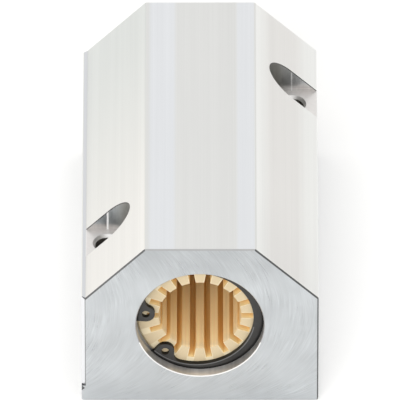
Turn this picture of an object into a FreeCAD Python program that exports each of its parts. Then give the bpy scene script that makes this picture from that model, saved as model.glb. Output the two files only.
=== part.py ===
import FreeCAD, Part
import math
import os
from FreeCAD import Vector

# Long closed linear bearing block for a 30 mm shaft: one extruded aluminium
# housing, two slotted plain bushes end to end in its bore, a spacer ring
# between them and an internal retaining ring at each end.
# Frame: origin at the centre of the base face, +Z up, the shaft along Y,
# +X to the right when the block is looked at from -Y.  Millimetres.

# ---- housing -------------------------------------------------------------
LENGTH = 152.0            # along the shaft
WIDTH = 87.0              # across the flanks
HEIGHT = 70.0             # base to top flat
BORE_Z = 35.0             # shaft centre above the base
BORE_D = 47.0             # seat of the bushes
TOP_HALF = 20.25          # half width of the top flat
SHOULDER_Z = 47.5         # where the sloping faces meet the flanks
LEDGE = 1.5               # square ledge on the -X flank, the reference side
BASE_R = 1.5              # radius of the two base edges
TOP_R = 0.8               # radius of the two edges of the top flat
SHOULDER_R = 1.0          # radius of the +X shoulder
LEDGE_R = 0.4             # radius of the ledge's outer edge
MARK_Z = (5.0, 6.0, 7.1)  # lower edge, bottom and upper edge of the V groove
MARK_DEPTH = 1.2          # depth of the V groove that marks the -X flank
EDGE_BREAK = 0.5          # chamfer round both milled end faces
CORNER_CUT = 1.5          # chamfer of the upright edges of the -X flank
MOUTH_BREAK = 0.3         # chamfer at both mouths of the bore

# ---- screw pockets, diagonally opposite ------------------------------------
SCREW_X = 34.0            # screw axis from the shaft axis, across
SCREW_Y = 42.5            # screw axis from mid length
SCREW_D = 9.0             # through hole for an M8 cap screw
POCKET_D = 16.5           # width of the pocket for the screw head and its washer
POCKET_Z = SHOULDER_Z     # pocket floor
SCREW_BREAK = 1.0         # chamfer where the hole meets the pocket floor

# ---- retaining rings ---------------------------------------------------------
GROOVE_D = 49.5
GROOVE_W = 1.85
RING_DEPTH = 4.3          # outer side of the groove from the end face
RING_T = 1.75
RING_R = 24.7             # outer radius as seated
RING_IN_R = 20.97         # radius of the eccentric inner edge
RING_IN_OFF = 1.3         # its centre lies this far off the shaft axis
RING_IN_DIR = 190.0       # in this direction, about the shaft, a little above the middle of the gap
LUG_HOLE_R = 20.0         # lug hole from the shaft axis
LUG_HOLE_D = 3.0
LUG_R = 3.35              # nose radius of a lug
LUG_ANGLES = (174.5, 230.2)   # about the shaft, seen from the front end
LUG_FILLET = 3.4          # where a lug runs into the ring

# ---- bushes --------------------------------------------------------------------
BUSH_L = 68.0
BUSH_D = 46.98
SHAFT_BORE_D = 30.06
SLOTS = 18                # lengthwise slots, so as many sliding ribs
SLOT_W = 2.3
SLOT_R = 19.5             # radius of the slot floors
BUSH_OUT_BREAK = 0.8      # chamfer outside both ends
LEAD_L = 1.2              # lead-in at both ends of the rib tips: length
LEAD_RISE = 0.2           # and how far it opens the bore's radius at the end face

# ---- spacer ring -----------------------------------------------------------------
SPACER_D = 46.9
SPACER_IN_D = 39.0

HALF_L = LENGTH / 2.0
HALF_W = WIDTH / 2.0
BUSH_START = RING_DEPTH + RING_T           # bush face from the end face
SPACER_L = LENGTH - 2.0 * (BUSH_START + BUSH_L)
AXIS = Vector(0, 1, 0)


def rounded_wire(points, radii, y):
    """Closed wire in a plane of constant y from (x, z) corners, each with its radius."""
    n = len(points)
    starts, ends, mids = [], [], []
    for i in range(n):
        p = Vector(points[i][0], y, points[i][1])
        r = radii[i]
        if r <= 0:
            starts.append(p)
            ends.append(p)
            mids.append(None)
            continue
        a = Vector(points[i - 1][0], y, points[i - 1][1]) - p
        b = Vector(points[(i + 1) % n][0], y, points[(i + 1) % n][1]) - p
        a.normalize()
        b.normalize()
        half = a.getAngle(b) / 2.0
        t = r / math.tan(half)
        bis = a + b
        bis.normalize()
        c = p + bis * (r / math.sin(half))
        starts.append(p + a * t)
        ends.append(p + b * t)
        mids.append(c - bis * r)
    edges = []
    for i in range(n):
        if mids[i] is not None:
            edges.append(Part.Arc(starts[i], mids[i], ends[i]).toShape())
        j = (i + 1) % n
        edges.append(Part.LineSegment(ends[i], starts[j]).toShape())
    return Part.Wire(edges)


def rod(r, y0, y1, x=0.0, z=BORE_Z):
    """Cylinder along Y from y0 to y1."""
    return Part.makeCylinder(r, y1 - y0, Vector(x, y0, z), AXIS)


def cone(r0, r1, y0, y1, x=0.0, z=BORE_Z):
    """Cone along Y, radius r0 at y0 and r1 at y1."""
    return Part.makeCone(r0, r1, y1 - y0, Vector(x, y0, z), AXIS)


def mirrored(shape):
    """The same shape for the other end: turned half a turn about the Z axis."""
    s = shape.copy()
    s.rotate(Vector(0, 0, 0), Vector(0, 0, 1), 180)
    return s


# ---- housing -------------------------------------------------------------------------
outline = [
    (-HALF_W, 0.0),
    (HALF_W, 0.0),
    (HALF_W, SHOULDER_Z),
    (TOP_HALF, HEIGHT),
    (-TOP_HALF, HEIGHT),
    (-HALF_W + LEDGE, SHOULDER_Z),
    (-HALF_W, SHOULDER_Z),
    (-HALF_W, MARK_Z[2]),
    (-HALF_W + MARK_DEPTH, MARK_Z[1]),
    (-HALF_W, MARK_Z[0]),
]
radii = [BASE_R, BASE_R, SHOULDER_R, TOP_R, TOP_R, 0.0, LEDGE_R, 0.0, 0.0, 0.0]
section = rounded_wire(outline, radii, -HALF_L)
housing = Part.Face(section).extrude(Vector(0, LENGTH, 0))

# upright edges of the -X flank, from the V groove up
for end in (-1, 1):
    tri = Part.makePolygon([
        Vector(-HALF_W - 1.0, end * (HALF_L + 1.0), MARK_Z[2]),
        Vector(-HALF_W + CORNER_CUT + 1.0, end * (HALF_L + 1.0), MARK_Z[2]),
        Vector(-HALF_W - 1.0, end * (HALF_L - CORNER_CUT - 1.0), MARK_Z[2]),
        Vector(-HALF_W - 1.0, end * (HALF_L + 1.0), MARK_Z[2]),
    ])
    housing = housing.cut(Part.Face(tri).extrude(Vector(0, 0, SHOULDER_Z - MARK_Z[2] + 5.0)))

# edge break round both ends: base, +X flank, both sloping faces and the top flat
def edge_break(p0, p1, end):
    """Prism that takes the corner off the straight outline edge p0-p1 of one end face."""
    a = Vector(p0[0], end * HALF_L, p0[1])
    b = Vector(p1[0], end * HALF_L, p1[1])
    along = b - a
    along.normalize()
    out = Vector(along.z, 0, -along.x)        # outward, for an outline run that way round
    face = Vector(0, end, 0)
    c = EDGE_BREAK
    o = a - along
    tri = Part.makePolygon([
        o - out * (c + 1.0) + face,
        o + out - face * (c + 1.0),
        o + out + face,
        o - out * (c + 1.0) + face,
    ])
    return Part.Face(tri).extrude(b + along - o)


for end in (-1, 1):
    for i in range(5):
        housing = housing.cut(edge_break(outline[i], outline[i + 1], end))

# bore, ring grooves and mouths
housing = housing.cut(rod(BORE_D / 2, -HALF_L - 1, HALF_L + 1))
for end in (-1, 1):
    g0 = end * (HALF_L - RING_DEPTH)
    g1 = end * (HALF_L - RING_DEPTH - GROOVE_W)
    housing = housing.cut(rod(GROOVE_D / 2, min(g0, g1), max(g0, g1)))
m = MOUTH_BREAK
housing = housing.cut(cone(BORE_D / 2 + m + 0.1, BORE_D / 2, -HALF_L - 0.1, -HALF_L + m))
housing = housing.cut(cone(BORE_D / 2, BORE_D / 2 + m + 0.1, HALF_L - m, HALF_L + 0.1))

# screw pockets: a slot with a round inner end, open to the flank, and the hole
for side in (-1, 1):
    x, y = side * SCREW_X, side * SCREW_Y
    r = POCKET_D / 2
    top = HEIGHT - POCKET_Z + 5.0
    pocket = Part.makeCylinder(r, top, Vector(x, y, POCKET_Z))
    x_out = side * (HALF_W + 5.0)
    arm = Part.makeBox(abs(x_out - x), POCKET_D, top,
                       Vector(min(x, x_out), y - r, POCKET_Z))
    housing = housing.cut(pocket.fuse(arm))
    housing = housing.cut(Part.makeCylinder(SCREW_D / 2, POCKET_Z + 2.0, Vector(x, y, -1.0)))
    housing = housing.cut(Part.makeCone(SCREW_D / 2, SCREW_D / 2 + SCREW_BREAK + 0.1,
                                        SCREW_BREAK + 0.1,
                                        Vector(x, y, POCKET_Z - SCREW_BREAK)))
    housing = housing.cut(Part.makeCone(SCREW_D / 2 + EDGE_BREAK + 0.1, SCREW_D / 2,
                                        EDGE_BREAK + 0.1, Vector(x, y, -0.1)))
housing = housing.removeSplitter()

# ---- bush: a tube with parallel-sided slots between its sliding ribs -------------------
def make_bush(y0):
    """A bush whose -Y face is at y0."""
    ro, ri = BUSH_D / 2, SHAFT_BORE_D / 2
    b = rod(ro, y0, y0 + BUSH_L).cut(rod(ri, y0 - 1, y0 + BUSH_L + 1))
    cutter = None
    for i in range(SLOTS):
        a = 90.0 + 180.0 / SLOTS + i * 360.0 / SLOTS
        s = Part.makeBox(SLOT_R - ri + 2.0, BUSH_L + 2.0, SLOT_W,
                         Vector(ri - 2.0, y0 - 1.0, -SLOT_W / 2))
        s.rotate(Vector(0, 0, 0), Vector(0, -1, 0), a)
        s.translate(Vector(0, 0, BORE_Z))
        cutter = s if cutter is None else cutter.fuse(s)
    cutter = cutter.common(rod(SLOT_R, y0 - 1, y0 + BUSH_L + 1))
    b = b.cut(cutter)
    # chamfers outside and lead-ins inside, at both ends
    c, k = BUSH_OUT_BREAK, LEAD_L
    flare = LEAD_RISE * (k + 0.1) / k
    y1 = y0 + BUSH_L
    for near, far, sign in ((y0, y0 + c, 1), (y1, y1 - c, -1)):
        lo, hi = min(near, far), max(near, far)
        shell = rod(ro + 1, lo, hi)
        keep = cone(ro - c, ro, lo, hi) if sign > 0 else cone(ro, ro - c, lo, hi)
        b = b.cut(shell.cut(keep))
    b = b.cut(cone(ri + flare, ri, y0 - 0.1, y0 + k))
    b = b.cut(cone(ri, ri + flare, y1 - k, y1 + 0.1))
    return b.removeSplitter()


front_bush = make_bush(-HALF_L + BUSH_START)
rear_bush = mirrored(front_bush)

# ---- spacer ring between the bushes ------------------------------------------------------
spacer = rod(SPACER_D / 2, -SPACER_L / 2, SPACER_L / 2).cut(
    rod(SPACER_IN_D / 2, -SPACER_L / 2 - 1, SPACER_L / 2 + 1))

# ---- retaining ring: eccentric ring with a gap and two lugs -------------------------------
def make_ring(y0):
    """A ring whose -Y face is at y0."""
    mid = sum(LUG_ANGLES) / 2.0
    off = Vector(math.cos(math.radians(RING_IN_DIR)), 0, math.sin(math.radians(RING_IN_DIR))) * RING_IN_OFF
    base = rod(RING_R, y0, y0 + RING_T)
    ring = base.cut(rod(RING_IN_R, y0 - 1, y0 + RING_T + 1, off.x, BORE_Z + off.z))
    lugs = []
    gap = None
    for a, sign in ((LUG_ANGLES[0], 1), (LUG_ANGLES[1], -1)):
        u = Vector(math.cos(math.radians(a)), 0, math.sin(math.radians(a)))
        t = Vector(-u.z, 0, u.x) * sign       # towards the gap
        c = Vector(0, y0, BORE_Z) + u * LUG_HOLE_R
        nose = Part.makeCylinder(LUG_R, RING_T, c, AXIS)
        quad = [c - t * LUG_R, c + t * LUG_R, c + t * LUG_R + u * 4.0, c - t * LUG_R + u * 4.0]
        quad.append(quad[0])
        block = Part.Face(Part.makePolygon(quad)).extrude(Vector(0, RING_T, 0))
        lugs.append(nose.fuse(block).common(base))
        # clear everything past the flat end of this lug, to the middle of the gap
        m_ = Vector(math.cos(math.radians(mid)), 0, math.sin(math.radians(mid)))
        o = Vector(0, y0 - 1, BORE_Z)
        e0 = o + u * (LUG_HOLE_R - 8.0) + t * LUG_R
        e1 = o + u * 30.0 + t * LUG_R
        wedge = Part.makePolygon([e0, e1, o + m_ * 34.0, o + m_ * 10.0, e0])
        w = Part.Face(wedge).extrude(Vector(0, RING_T + 2, 0))
        gap = w if gap is None else gap.fuse(w)
    ring = ring.fuse(lugs[0]).fuse(lugs[1]).cut(gap).removeSplitter()
    # blend the inner side of each lug into the ring
    blend = []
    for e in ring.Edges:
        b = e.BoundBox
        if abs(b.YLength - RING_T) > 1e-3 or b.XLength > 1e-3 or b.ZLength > 1e-3:
            continue
        x, z = b.Center.x, b.Center.z - BORE_Z
        r, a = math.hypot(x, z), math.degrees(math.atan2(z, x)) % 360.0
        inward = a < LUG_ANGLES[0] - 3.0 or a > LUG_ANGLES[1] + 3.0
        if inward and 19.0 < r < 23.0:
            blend.append(e)
    ring = ring.makeFillet(LUG_FILLET, blend)
    for a in LUG_ANGLES:
        x = LUG_HOLE_R * math.cos(math.radians(a))
        z = LUG_HOLE_R * math.sin(math.radians(a))
        ring = ring.cut(rod(LUG_HOLE_D / 2, y0 - 1, y0 + RING_T + 1, x, BORE_Z + z))
    # the stamped edges are slightly broken on the outward face
    return ring.removeSplitter()


front_ring = make_ring(-HALF_L + RING_DEPTH)
rear_ring = mirrored(front_ring)

os.makedirs("parts", exist_ok=True)
for name, shape in (
    ("housing_block", housing),
    ("front_bush", front_bush),
    ("rear_bush", rear_bush),
    ("bush_spacer", spacer),
    ("front_retaining_ring", front_ring),
    ("rear_retaining_ring", rear_ring),
):
    solids = shape.Solids
    print(name, "solids", len(solids), "valid", shape.isValid(),
          "volume_cm3", round(shape.Volume / 1000.0, 3), "faces", len(shape.Faces))
    (solids[0] if len(solids) == 1 else shape).exportStep("parts/%s.step" % name)
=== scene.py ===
import math

import bpy
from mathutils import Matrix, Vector


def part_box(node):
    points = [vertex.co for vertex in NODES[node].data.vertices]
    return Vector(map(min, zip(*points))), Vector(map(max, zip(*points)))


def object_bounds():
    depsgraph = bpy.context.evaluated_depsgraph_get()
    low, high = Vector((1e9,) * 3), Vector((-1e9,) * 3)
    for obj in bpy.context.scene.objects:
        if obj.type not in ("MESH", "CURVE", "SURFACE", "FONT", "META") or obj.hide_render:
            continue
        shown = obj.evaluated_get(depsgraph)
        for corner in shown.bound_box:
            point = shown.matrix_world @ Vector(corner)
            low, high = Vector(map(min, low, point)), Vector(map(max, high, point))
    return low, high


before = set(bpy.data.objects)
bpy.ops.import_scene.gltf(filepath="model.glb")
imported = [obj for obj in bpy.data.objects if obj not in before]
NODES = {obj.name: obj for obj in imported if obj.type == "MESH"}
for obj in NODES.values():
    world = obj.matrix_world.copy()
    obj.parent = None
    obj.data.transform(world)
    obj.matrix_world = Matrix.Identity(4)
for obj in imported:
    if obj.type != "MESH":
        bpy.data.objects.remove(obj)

CAD_LOW, CAD_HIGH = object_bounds()

# ------------------------------------------------------------------ places, all from the frame, in millimetres
LOW = [v * 1000.0 for v in CAD_LOW]
HIGH = [v * 1000.0 for v in CAD_HIGH]
END_Y = HIGH[1]
FLANK_X = HIGH[0]
TOP_Z = HIGH[2]
bush_low, bush_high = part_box("front_bush")
AXIS_Z = (bush_low[2] + bush_high[2]) * 500.0
BUSH_R = (bush_high[2] - bush_low[2]) * 500.0
BUSH_FRONT = bush_low[1] * 1000.0
BUSH_LEN = (bush_high[1] - bush_low[1]) * 1000.0
TOP_HALF = 20.25
SHOULDER_Z = 47.5
SCREW_X, SCREW_Y = 34.0, 42.5


# ------------------------------------------------------------------ small helpers for node trees
class Tree:
    """One material, with its Principled shader at .bsdf."""

    def __init__(self, name):
        self.mat = bpy.data.materials.new(name)
        self.mat.use_nodes = True
        self.nt = self.mat.node_tree
        self.nt.nodes.clear()
        out = self.add("ShaderNodeOutputMaterial")
        self.bsdf = self.add("ShaderNodeBsdfPrincipled")
        self.nt.links.new(self.bsdf.outputs["BSDF"], out.inputs["Surface"])
        coord = self.add("ShaderNodeTexCoord")
        geo = self.add("ShaderNodeNewGeometry")
        scale = self.add("ShaderNodeVectorMath")
        scale.operation = "SCALE"
        scale.inputs["Scale"].default_value = 1000.0
        self.nt.links.new(coord.outputs["Object"], scale.inputs[0])
        self.p = scale.outputs["Vector"]
        sep = self.add("ShaderNodeSeparateXYZ")
        self.nt.links.new(self.p, sep.inputs[0])
        self.x, self.y, self.z = sep.outputs[0], sep.outputs[1], sep.outputs[2]
        sepn = self.add("ShaderNodeSeparateXYZ")
        self.nt.links.new(geo.outputs["True Normal"], sepn.inputs[0])
        self.nx, self.ny, self.nz = sepn.outputs[0], sepn.outputs[1], sepn.outputs[2]
        self.heights = []

    def add(self, kind):
        return self.nt.nodes.new(kind)

    def put(self, value, socket):
        if isinstance(value, (int, float)):
            socket.default_value = value
        elif isinstance(value, (tuple, list)):
            n = len(socket.default_value)
            socket.default_value = tuple(value)[:n] if len(value) >= n else tuple(value) + (1.0,)
        else:
            self.nt.links.new(value, socket)

    def m(self, op, *args, clamp=False):
        node = self.add("ShaderNodeMath")
        node.operation = op
        node.use_clamp = clamp
        for i, a in enumerate(args):
            self.put(a, node.inputs[i])
        return node.outputs[0]

    def mul(self, *args):
        out = args[0]
        for a in args[1:]:
            out = self.m("MULTIPLY", out, a)
        return out

    def plus(self, *args):
        out = args[0]
        for a in args[1:]:
            out = self.m("ADD", out, a)
        return out

    def minus(self, a, b):
        return self.m("SUBTRACT", a, b)

    def above(self, a, b):
        return self.m("GREATER_THAN", a, b)

    def below(self, a, b):
        return self.m("LESS_THAN", a, b)

    def absv(self, a):
        return self.m("ABSOLUTE", a)

    def biggest(self, *args):
        out = args[0]
        for a in args[1:]:
            out = self.m("MAXIMUM", out, a)
        return out

    def inv(self, a):
        return self.m("SUBTRACT", 1.0, a)

    def hyp(self, a, b):
        return self.m("SQRT", self.m("MULTIPLY_ADD", a, a, self.m("MULTIPLY", b, b)))

    def soft(self, v, lo, hi, out_lo=0.0, out_hi=1.0):
        node = self.add("ShaderNodeMapRange")
        node.interpolation_type = "SMOOTHSTEP"
        self.put(v, node.inputs["Value"])
        self.put(lo, node.inputs["From Min"])
        self.put(hi, node.inputs["From Max"])
        self.put(out_lo, node.inputs["To Min"])
        self.put(out_hi, node.inputs["To Max"])
        return node.outputs[0]

    def band(self, v, centre, half, edge):
        """1 within half of centre, fading to 0 over edge."""
        d = self.absv(self.minus(v, centre))
        return self.soft(d, half, half + edge, 1.0, 0.0)

    def vec(self, a, b, c):
        node = self.add("ShaderNodeCombineXYZ")
        for i, v in enumerate((a, b, c)):
            self.put(v, node.inputs[i])
        return node.outputs[0]

    def scaled(self, v, sx, sy, sz, ox=0.0, oy=0.0, oz=0.0):
        node = self.add("ShaderNodeVectorMath")
        node.operation = "MULTIPLY_ADD"
        self.put(v, node.inputs[0])
        node.inputs[1].default_value = (sx, sy, sz)
        node.inputs[2].default_value = (ox, oy, oz)
        return node.outputs["Vector"]

    def noise(self, v, scale=1.0, detail=2.0, rough=0.5, distort=0.0):
        node = self.add("ShaderNodeTexNoise")
        node.noise_dimensions = "3D"
        self.put(v, node.inputs["Vector"])
        node.inputs["Scale"].default_value = scale
        node.inputs["Detail"].default_value = detail
        node.inputs["Roughness"].default_value = rough
        node.inputs["Distortion"].default_value = distort
        return node.outputs["Fac"]

    def noise1(self, w, scale=1.0, detail=2.0, rough=0.5):
        node = self.add("ShaderNodeTexNoise")
        node.noise_dimensions = "1D"
        self.put(w, node.inputs["W"])
        node.inputs["Scale"].default_value = scale
        node.inputs["Detail"].default_value = detail
        node.inputs["Roughness"].default_value = rough
        return node.outputs["Fac"]

    def spots(self, v, scale=1.0):
        node = self.add("ShaderNodeTexVoronoi")
        self.put(v, node.inputs["Vector"])
        node.inputs["Scale"].default_value = scale
        return node.outputs["Distance"]

    def centred(self, a, gain):
        """Noise about 0.5 becomes a signed value of about plus or minus gain / 2."""
        return self.m("MULTIPLY", self.minus(a, 0.5), gain)

    def mix(self, fac, a, b, mode="MIX"):
        node = self.add("ShaderNodeMix")
        node.data_type = "RGBA"
        node.blend_type = mode
        node.clamp_factor = True
        self.put(fac, node.inputs[0])
        self.put(a, node.inputs[6])
        self.put(b, node.inputs[7])
        return node.outputs[2]

    def lerp(self, fac, a, b):
        node = self.add("ShaderNodeMix")
        node.data_type = "FLOAT"
        node.clamp_factor = True
        self.put(fac, node.inputs[0])
        self.put(a, node.inputs[2])
        self.put(b, node.inputs[3])
        return node.outputs[0]

    def gain(self, color, value):
        """The colour times a value."""
        node = self.add("ShaderNodeVectorMath")
        node.operation = "SCALE"
        self.put(color, node.inputs[0])
        self.put(value, node.inputs["Scale"])
        return node.outputs["Vector"]

    def ramp(self, v, stops):
        node = self.add("ShaderNodeValToRGB")
        self.put(v, node.inputs[0])
        cr = node.color_ramp
        cr.interpolation = "EASE"
        while len(cr.elements) > 1:
            cr.elements.remove(cr.elements[-1])
        cr.elements[0].position = stops[0][0]
        cr.elements[0].color = tuple(stops[0][1]) + (1.0,)
        for pos, col in stops[1:]:
            e = cr.elements.new(pos)
            e.color = tuple(col) + (1.0,)
        return node.outputs["Color"]

    def bump(self, height, strength=0.3, distance=0.00005):
        node = self.add("ShaderNodeBump")
        node.inputs["Strength"].default_value = strength
        node.inputs["Distance"].default_value = distance
        self.put(height, node.inputs["Height"])
        self.nt.links.new(node.outputs["Normal"], self.bsdf.inputs["Normal"])

    def set(self, name, value):
        self.put(value, self.bsdf.inputs[name])


def srgb(r, g, b):
    def lin(c):
        c /= 255.0
        return c / 12.92 if c <= 0.04045 else ((c + 0.055) / 1.055) ** 2.4
    return (lin(r), lin(g), lin(b))


# ------------------------------------------------------------------ aluminium housing
def milled_arcs(t):
    """Marks of a wide face cutter that crossed the end face sideways: equal arcs, broken into short scratches."""
    cut_r, cut_z = 42.0, 42.0
    dz = t.minus(t.z, cut_z)
    inside = t.m("MAXIMUM", t.minus(cut_r * cut_r, t.mul(dz, dz)), 1.0)
    wander = t.centred(t.noise(t.scaled(t.p, 0.06, 0.01, 0.06), 1.0, 1.0), 1.6)
    u = t.plus(t.minus(t.x, t.m("SQRT", inside)), wander)
    along = t.m("ARCTAN2", dz, t.m("SQRT", inside))
    v1 = t.vec(t.mul(u, 0.34), t.mul(along, 1.2), 0.0)
    v2 = t.vec(t.mul(u, 1.15), t.mul(along, 3.2), 7.0)
    v3 = t.vec(t.mul(u, 3.4), t.mul(along, 6.5), 3.0)
    patch = t.soft(t.noise(t.scaled(t.p, 0.085, 0.01, 0.085, 9.0, 3.0, 1.0), 1.0, 2.0), 0.36, 0.66, 0.35, 1.6)
    coarse = t.centred(t.noise(v1, 1.0, 1.0, 0.5), 1.0)
    middle = t.mul(t.centred(t.noise(v2, 1.0, 1.5, 0.6), 1.0), patch)
    fine = t.mul(t.centred(t.noise(v3, 1.0, 1.0, 0.5), 1.0), patch)
    return coarse, middle, fine


def housing_material():
    t = Tree("aluminium_housing")
    ax, ay = t.absv(t.x), t.absv(t.y)
    any_ = t.absv(t.ny)
    anx = t.absv(t.nx)
    anz = t.absv(t.nz)
    dzb = t.minus(t.z, AXIS_Z)
    r = t.hyp(t.x, dzb)

    end = t.mul(t.above(any_, 0.95), t.above(ay, END_Y - 1.0))
    rim = t.mul(t.above(any_, 0.2), t.below(any_, 0.95), t.above(ay, END_Y - 1.9))
    edge = t.mul(rim, t.above(r, 25.6))
    mouth = t.mul(rim, t.below(r, 25.6))
    bore = t.mul(t.below(r, 24.9), t.below(any_, 0.95))
    strip = t.mul(edge, t.below(t.nx, -0.3), t.below(anz, 0.3))
    groove = t.mul(t.below(t.x, 1.25 - FLANK_X), t.above(t.z, 4.95), t.below(t.z, 7.15), t.above(anz, 0.3),
                   t.below(any_, 0.6))
    in_pocket_y = t.below(t.absv(t.minus(ay, SCREW_Y)), 9.0)
    pocket = t.mul(t.above(ax, 24.0), in_pocket_y, t.above(t.z, SHOULDER_Z - 0.2), t.below(t.z, TOP_Z - 1.0),
                   t.biggest(t.below(anz, 0.3), t.above(t.nz, 0.95)), t.below(ax, FLANK_X - 0.02),
                   t.above(t.mul(t.x, t.y), 0.0), t.biggest(t.above(t.x, 0.0), t.below(ax, FLANK_X - 1.5)))
    hole = t.mul(t.below(t.z, SHOULDER_Z - 0.02), t.below(t.hyp(t.minus(ax, SCREW_X), t.minus(ay, SCREW_Y)), 5.7),
                 t.below(anz, 0.9))

    # Extruded surfaces: fine draw lines along the length, wide faint tone bands, a thin clear anodised layer.
    lines_a = t.centred(t.noise(t.scaled(t.p, 1.9, 0.006, 1.9), 1.0, 2.0, 0.65), 1.0)
    lines_b = t.centred(t.noise(t.scaled(t.p, 0.42, 0.004, 0.42, 11.0, 0.0, 5.0), 1.0, 1.0), 1.0)
    cloud = t.centred(t.noise(t.scaled(t.p, 0.035, 0.02, 0.035, 3.0, 1.0, 8.0), 1.0, 2.0), 1.0)
    grain = t.centred(t.noise(t.p, 5.0, 2.0), 1.0)
    tone = t.plus(1.0, t.mul(lines_a, 0.085), t.mul(lines_b, 0.07), t.mul(cloud, 0.035), t.mul(grain, 0.02))

    top = t.above(t.nz, 0.95)
    blue = t.biggest(t.band(t.x, -14.0, 3.8, 1.8), t.band(t.x, 17.0, 2.6, 1.4))
    base_top = t.mix(blue, (0.765, 0.77, 0.765), (0.79, 0.808, 0.838))
    base_top = t.mix(t.below(t.x, -41.0), base_top, (0.70, 0.715, 0.745))
    # painted light: the left slope lighter at the front, darker towards the back
    left = t.mul(t.below(t.nx, -0.3), t.above(t.nz, 0.3))
    run = t.soft(t.y, -76.0, 76.0)
    left_slope_painted_light = t.mix(run, (0.86, 0.845, 0.815), (0.725, 0.745, 0.73))
    # painted shade on the right slope: a painted darker band along its middle, a little darker at the front end
    right = t.mul(t.above(t.nx, 0.3), t.above(t.nz, 0.3))
    right_slope_painted_dark_band = t.band(t.x, 31.0, 4.0, 5.0)
    right_slope_painted_shade = t.mix(t.soft(t.y, -30.0, -76.0), (1.0, 1.0, 1.0), (0.96, 0.96, 0.96))
    right_slope_painted_shade = t.mix(1.0, right_slope_painted_shade, t.mix(right_slope_painted_dark_band, (0.83, 0.835, 0.822), (0.77, 0.76, 0.745)), "MULTIPLY")
    color = t.mix(top, (0.80, 0.81, 0.825), base_top)
    color = t.mix(left, color, left_slope_painted_light)
    color = t.mix(right, color, right_slope_painted_shade)
    # painted dark reflection line on the right top long edge, painted highlight just beside both top long edges
    along_edge = t.mul(t.above(t.nz, 0.5), t.below(any_, 0.2))
    painted_dark_reflection_line = t.mul(along_edge, t.band(t.x, 20.5, 0.18, 0.15))
    painted_highlight_line = t.mul(along_edge, t.soft(ax, 21.2, 24.0, 1.0, 0.0), t.above(ax, TOP_HALF + 0.3))
    color = t.gain(color, t.mul(tone, t.lerp(painted_dark_reflection_line, t.lerp(painted_highlight_line, 1.0, 1.045), 0.88)))
    rough = t.plus(0.36, t.mul(lines_a, 0.12), t.mul(cloud, 0.08))

    # Milled end faces: mill marks, and a darker blue-grey base that is partly the raw milled metal and partly a
    # painted darker reflection of the room in front.
    coarse, middle, fine = milled_arcs(t)
    blot = t.centred(t.noise(t.scaled(t.p, 0.075, 0.01, 0.075, 4.0, 2.0, 9.0), 1.0, 2.0), 1.0)
    mill_tone = t.plus(1.0, t.mul(coarse, 0.15), t.mul(middle, 0.24), t.mul(fine, 0.24), t.mul(blot, 0.24))
    shade = t.mul(t.soft(t.z, 50.0, 64.0), t.soft(ax, 18.0, 34.0, 1.0, 0.25))
    mill_tone = t.mul(mill_tone, t.minus(1.0, t.mul(shade, 0.15)))
    mill = t.gain((0.558, 0.582, 0.600), mill_tone)
    mill_rough = t.plus(0.34, t.mul(middle, 0.25), t.mul(fine, 0.10))
    color = t.mix(end, color, mill)
    rough = t.lerp(end, rough, mill_rough)

    # Bored seat of the bushes: fine turning rings, a painted highlight (sheen) in a band about the vertical middle,
    # and painted reflection streaks around the bore.
    rings = t.centred(t.noise(t.vec(t.mul(t.y, 3.0), t.mul(r, 0.3), 0.0), 1.0, 2.0), 1.0)
    # painted highlight: brighter in a band about the vertical middle of the bore
    sheen = t.soft(t.absv(t.minus(t.x, 2.0)), 2.0, 11.0, 1.0, 0.62)
    painted_reflection_streaks = t.centred(t.noise1(t.m("ARCTAN2", t.x, dzb), 7.0, 2.0, 0.6), 1.0)
    bored = t.gain((0.86, 0.84, 0.82), t.plus(t.mul(rings, 0.12), t.mul(sheen, t.plus(1.0, t.mul(painted_reflection_streaks, 0.55)))))
    color = t.mix(bore, color, bored)
    rough = t.lerp(bore, rough, t.plus(0.34, t.mul(rings, 0.08)))

    # Milled screw pockets: painted shade darkening the walls towards the round end, painted light on the walls just
    # above the floor, a painted highlight line where the round end meets the straight walls, a painted highlight
    # line on the floor beside the ledge, a painted shadow line under the slope.
    steps = t.centred(t.noise(t.scaled(t.p, 0.7, 0.7, 0.5), 1.0, 2.0), 1.0)
    plunge = t.centred(t.noise(t.scaled(t.p, 1.6, 1.6, 0.05), 1.0, 2.0), 1.0)
    right_side = t.above(t.x, 0.0)
    # painted shade: walls darker towards the round end
    cut_l = t.mix(t.soft(ax, 26.5, 35.5), (0.24, 0.235, 0.215), (0.68, 0.725, 0.755))
    cut_r = t.mix(t.soft(ax, 28.0, 38.0), (0.14, 0.138, 0.125), (0.80, 0.82, 0.83))
    cut = t.mix(right_side, cut_l, cut_r)
    # painted light: walls lighter just above the floor
    low_l = t.soft(t.z, SHOULDER_Z + 1.5, SHOULDER_Z + 3.6, 1.0, 0.0)
    low_r = t.mul(t.soft(t.z, SHOULDER_Z + 1.5, SHOULDER_Z + 4.2, 1.0, 0.0), t.soft(ax, 31.0, 39.0, 0.35, 1.0))
    level = t.centred(t.noise1(t.z, 1.7, 1.0), 1.0)
    cut = t.mix(t.lerp(right_side, low_l, low_r), cut,
                t.gain((0.70, 0.675, 0.66), t.plus(1.0, t.mul(level, t.lerp(right_side, 0.25, 0.9)))))
    # painted highlight line where the round end meets the straight walls
    painted_tangent_highlight = t.lerp(right_side, t.band(ax, SCREW_X, 0.22, 0.22), t.mul(t.band(ax, SCREW_X + 0.1, 0.10, 0.25), 0.55))
    cut = t.mix(painted_tangent_highlight, cut, (1.0, 1.0, 1.0))
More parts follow.
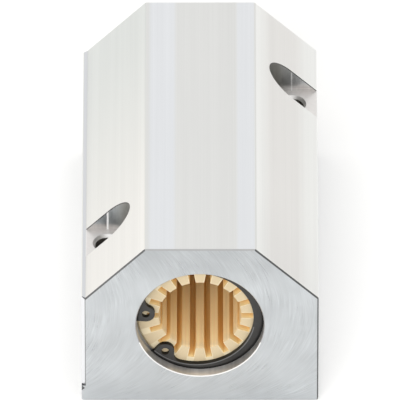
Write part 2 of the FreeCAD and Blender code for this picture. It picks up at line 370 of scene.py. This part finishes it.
    # painted shadow line just under the slope's edge
    slope_z = t.minus(TOP_Z, t.mul(t.minus(ax, TOP_HALF), t.lerp(right_side, 22.5 / 21.75, 22.5 / 23.25)))
    cut = t.mix(t.soft(t.minus(slope_z, t.z), 0.25, 0.75, 1.0, 0.0), cut, (0.13, 0.13, 0.125))
    cut = t.gain(cut, t.plus(1.0, t.mul(steps, 0.22), t.mul(plunge, 0.22)))
    floor_cut = t.gain((0.82, 0.80, 0.79), t.plus(1.0, t.mul(steps, 0.14)))
    # painted highlight line on the floor beside the ledge
    floor_cut = t.mix(t.band(t.x, 1.45 - FLANK_X, 0.13, 0.10), floor_cut, (1.0, 1.0, 1.0))
    color = t.mix(pocket, color, t.mix(top, cut, floor_cut))
    rough = t.lerp(pocket, rough, t.plus(0.40, t.mul(steps, 0.10)))
    chamfer = t.mul(hole, t.above(anz, 0.3))
    color = t.mix(hole, color, t.gain((0.50, 0.47, 0.44), t.plus(1.0, t.mul(steps, 0.4))))
    color = t.mix(chamfer, color, (0.95, 0.94, 0.93))

    # Broken edges: a painted dark reflection of the dark room on the cuts beside the slopes and on the right flank,
    # a light cut on the wide left corner with a painted dark reflection line next to the milled face.
    slope_edge = t.mul(edge, t.above(anx, 0.2))
    color = t.mix(t.mul(slope_edge, 0.9), color, t.gain(t.mix(t.above(t.x, 0.0), (0.10, 0.105, 0.11), (0.045, 0.047, 0.05)), t.plus(1.0, t.mul(fine, 0.8))))
    color = t.mix(strip, color, t.mix(t.soft(t.x, 1.10 - FLANK_X, 1.35 - FLANK_X), (0.80, 0.81, 0.83), (0.22, 0.225, 0.225)))
    color = t.mix(t.mul(edge, t.below(anx, 0.2), t.above(t.nz, 0.2)), color, (0.50, 0.505, 0.51))
    # painted highlight at the bottom of the mouth chamfer (more than 8 mm under the axis), painted dark reflection
    # above
    color = t.mix(mouth, color, t.mix(t.above(t.z, AXIS_Z - 8.0), (1.0, 1.0, 0.99), (0.40, 0.40, 0.41)))
    # painted shade: the flank groove nearly black
    color = t.mix(groove, color, (0.09, 0.09, 0.095))

    t.set("Base Color", color)
    t.set("Roughness", rough)
    shiny = t.lerp(bore, 0.93, 0.62)
    shiny = t.lerp(t.mul(pocket, painted_tangent_highlight, t.below(anz, 0.3)), shiny, 0.10)
    t.set("Metallic", shiny)
    relief = t.lerp(end, t.plus(t.mul(lines_a, 0.5), t.mul(grain, 0.15)), t.plus(middle, t.mul(fine, 0.5)))
    relief = t.lerp(bore, relief, t.mul(rings, 0.4))
    t.bump(relief, 0.25, 0.00004)
    return t.mat


# ------------------------------------------------------------------ polymer bush
def bush_material():
    """Cream bearing polymer: matt moulded end faces with painted highlights along the slot edges and painted shade
    towards the left, satin ribs with fine lighter and darker lines along the length, and the inside painted darker
    and more orange with depth as painted shade.
    """
    t = Tree("bearing_polymer")
    dz = t.minus(t.z, AXIS_Z)
    r = t.hyp(t.x, dz)
    depth = t.minus(END_Y, t.absv(t.y))
    face = t.above(t.absv(t.ny), 0.5)
    # distance from the nearest slot wall, from the angle about the shaft
    turn = t.m("ARCTAN2", t.x, dz)
    pitch = 2.0 * math.pi / 18.0
    off = t.minus(t.m("FLOORED_MODULO", turn, pitch), pitch / 2.0)
    wall = t.minus(t.absv(t.mul(r, t.m("SINE", off))), 1.15)

    mott = t.centred(t.noise(t.p, 0.30, 3.0), 1.0)
    speck = t.centred(t.noise(t.p, 3.0, 3.0, 0.6), 1.0)
    streak = t.centred(t.noise(t.vec(t.mul(turn, 15.0), t.mul(t.y, 0.012), 2.0), 1.0, 2.5, 0.65), 1.0)
    tone = t.plus(1.0, t.mul(mott, 0.07), t.mul(speck, 0.09), t.mul(streak, t.lerp(face, 0.55, 0.03)))

    # painted shade: inside colour darker and more orange further from the ends and in the slots than on the rib tips
    near = t.soft(depth, END_Y + BUSH_FRONT + 0.3, END_Y + BUSH_FRONT + 5.0, 1.0, 0.0)
    tip = t.soft(r, 15.2, 15.7, 1.0, 0.0)
    inner = t.mix(near, (1.0, 0.69, 0.29), (0.97, 0.79, 0.45))
    inner = t.mix(tip, inner, t.mix(near, (1.0, 0.775, 0.44), (0.89, 0.715, 0.44)))
    # painted highlight along the slot edges of the end faces, painted shade towards the left
    face_with_painted_light = t.mix(t.soft(wall, 0.05, 0.35, 1.0, 0.0), (0.64, 0.52, 0.335), (0.79, 0.68, 0.47))
    face_with_painted_light = t.gain(face_with_painted_light, t.soft(t.x, -22.0, -8.0, 0.87, 1.0))
    color = t.mix(face, inner, face_with_painted_light)
    color = t.gain(color, tone)
    t.set("Base Color", color)
    t.set("Roughness", t.plus(0.46, t.mul(speck, 0.14), t.mul(streak, 0.10)))
    t.bsdf.inputs["IOR"].default_value = 1.48
    t.bsdf.inputs["Specular IOR Level"].default_value = 0.4
    t.bump(t.plus(speck, t.mul(streak, 0.6)), 0.25, 0.00004)
    return t.mat


# ------------------------------------------------------------------ retaining rings
def ring_material():
    t = Tree("phosphated_spring_steel")
    r = t.hyp(t.x, t.minus(t.z, AXIS_Z))
    speck = t.centred(t.noise(t.p, 4.0, 3.0, 0.6), 1.0)
    cloud = t.centred(t.noise(t.p, 0.5, 2.0), 1.0)
    tone = t.plus(1.0, t.mul(speck, 0.35), t.mul(cloud, 0.3))
    face = t.above(t.absv(t.ny), 0.5)
    # painted shadow: outer rim of the ring darker
    rim = t.soft(r, 22.3, 23.0, 1.0, 0.15)
    inner = t.hyp(t.minus(t.x, -1.28), t.minus(t.z, AXIS_Z - 0.23))
    # painted highlight line near the inner edge, on the lower part of the face
    line = t.mul(t.band(inner, 21.35, 0.10, 0.12), t.below(t.z, AXIS_Z - 4.0), face)
    # painted shade: side walls at 0.18 of the face colour
    color = t.gain(t.gain((0.055, 0.054, 0.053), t.mul(tone, rim)), t.lerp(face, 0.18, 1.0))
    color = t.mix(t.mul(line, 0.6), color, (0.30, 0.30, 0.31))
    t.set("Base Color", color)
    t.bsdf.inputs["Metallic"].default_value = 0.55
    t.set("Roughness", t.plus(0.46, t.mul(speck, 0.2)))
    t.bump(speck, 0.25, 0.00003)
    return t.mat


def spacer_material():
    t = Tree("turned_spacer")
    rings = t.centred(t.noise(t.vec(t.mul(t.y, 4.0), 0.0, 0.0), 1.0, 2.0), 1.0)
    t.set("Base Color", t.gain((0.68, 0.68, 0.69), t.plus(1.0, t.mul(rings, 0.12))))
    t.set("Metallic", 0.9)
    t.set("Roughness", t.plus(0.3, t.mul(rings, 0.1)))
    t.bump(rings, 0.2, 0.00003)
    return t.mat


MATS = {
    "housing_block": housing_material(),
    "front_bush": bush_material(),
    "front_retaining_ring": ring_material(),
    "bush_spacer": spacer_material(),
}
MATS["rear_bush"] = MATS["front_bush"]
MATS["rear_retaining_ring"] = MATS["front_retaining_ring"]
for name, obj in NODES.items():
    if not obj.material_slots:
        obj.data.materials.append(MATS[name])
    for slot in obj.material_slots:
        slot.material = MATS[name]


# ------------------------------------------------------------------ floor
def floor():
    mesh = bpy.data.meshes.new("studio_floor")
    s = 30.0
    z = CAD_LOW[2] - 0.0002
    mesh.from_pydata([(-s, -s, z), (s, -s, z), (s, s, z), (-s, s, z)], [], [(0, 1, 2, 3)])
    obj = bpy.data.objects.new("studio_floor", mesh)
    bpy.context.scene.collection.objects.link(obj)
    t = Tree("pale_floor")
    n = t.centred(t.noise(t.p, 0.02, 3.0), 1.0)
    t.set("Base Color", t.gain((0.93, 0.93, 0.93), t.plus(1.0, t.mul(n, 0.01))))
    t.set("Roughness", t.plus(0.85, t.mul(n, 0.05)))
    t.bsdf.inputs["Specular IOR Level"].default_value = 0.1
    mesh.materials.append(t.mat)
    return obj


floor()


# ------------------------------------------------------------------ light
def area(name, at, aim, size, power, color=(1.0, 1.0, 1.0)):
    data = bpy.data.lights.new(name, "AREA")
    data.shape = "RECTANGLE"
    data.size, data.size_y = size
    data.energy = power
    data.color = color
    obj = bpy.data.objects.new(name, data)
    bpy.context.scene.collection.objects.link(obj)
    obj.location = at
    obj.rotation_euler = (Vector(aim) - Vector(at)).to_track_quat("-Z", "Y").to_euler()
    obj.visible_camera = False
    obj.visible_glossy = False
    return obj


world = bpy.data.worlds.new("studio")
bpy.context.scene.world = world
world.use_nodes = True
bg = world.node_tree.nodes.get("Background") or world.node_tree.nodes.new("ShaderNodeBackground")
bg.inputs["Color"].default_value = (1.0, 0.995, 0.98, 1.0)
bg.inputs["Strength"].default_value = 0.955

area("overhead_soft", (0.0, -0.25, 2.2), (0.0, 0.0, 0.03), (1.8, 1.8), 10.0)
area("key_front_left", (-0.60, -2.2, 1.20), (0.0, -0.05, 0.03), (1.6, 1.0), 24.0, (1.0, 0.99, 0.97))


# ------------------------------------------------------------------ camera, at the viewing angle of the picture
ELEVATION = 37.3
DISTANCE = 6.4
PX_PER_MM = 2.700
centre = (CAD_LOW + CAD_HIGH) / 2 if isinstance(CAD_LOW, Vector) else Vector([(a + b) / 2 for a, b in zip(CAD_LOW, CAD_HIGH)])
cam_data = bpy.data.cameras.new("camera")
cam_data.type = "PERSP"
cam_data.sensor_width = 36.0
cam_data.lens = 36.0 * DISTANCE / (400.0 / PX_PER_MM / 1000.0)
cam_data.clip_start = 0.01
cam_data.clip_end = 100.0
cam = bpy.data.objects.new("camera", cam_data)
bpy.context.scene.collection.objects.link(cam)
el = math.radians(ELEVATION)
back = Vector((0.0, -math.cos(el), math.sin(el)))
cam.location = centre + back * DISTANCE
cam.rotation_euler = (math.pi / 2 - el, 0.0, 0.0)
bpy.context.scene.camera = cam

scene = bpy.context.scene
scene.view_settings.view_transform = "Standard"
scene.view_settings.look = "None"
scene.view_settings.exposure = 0.0
scene.view_settings.gamma = 1.0
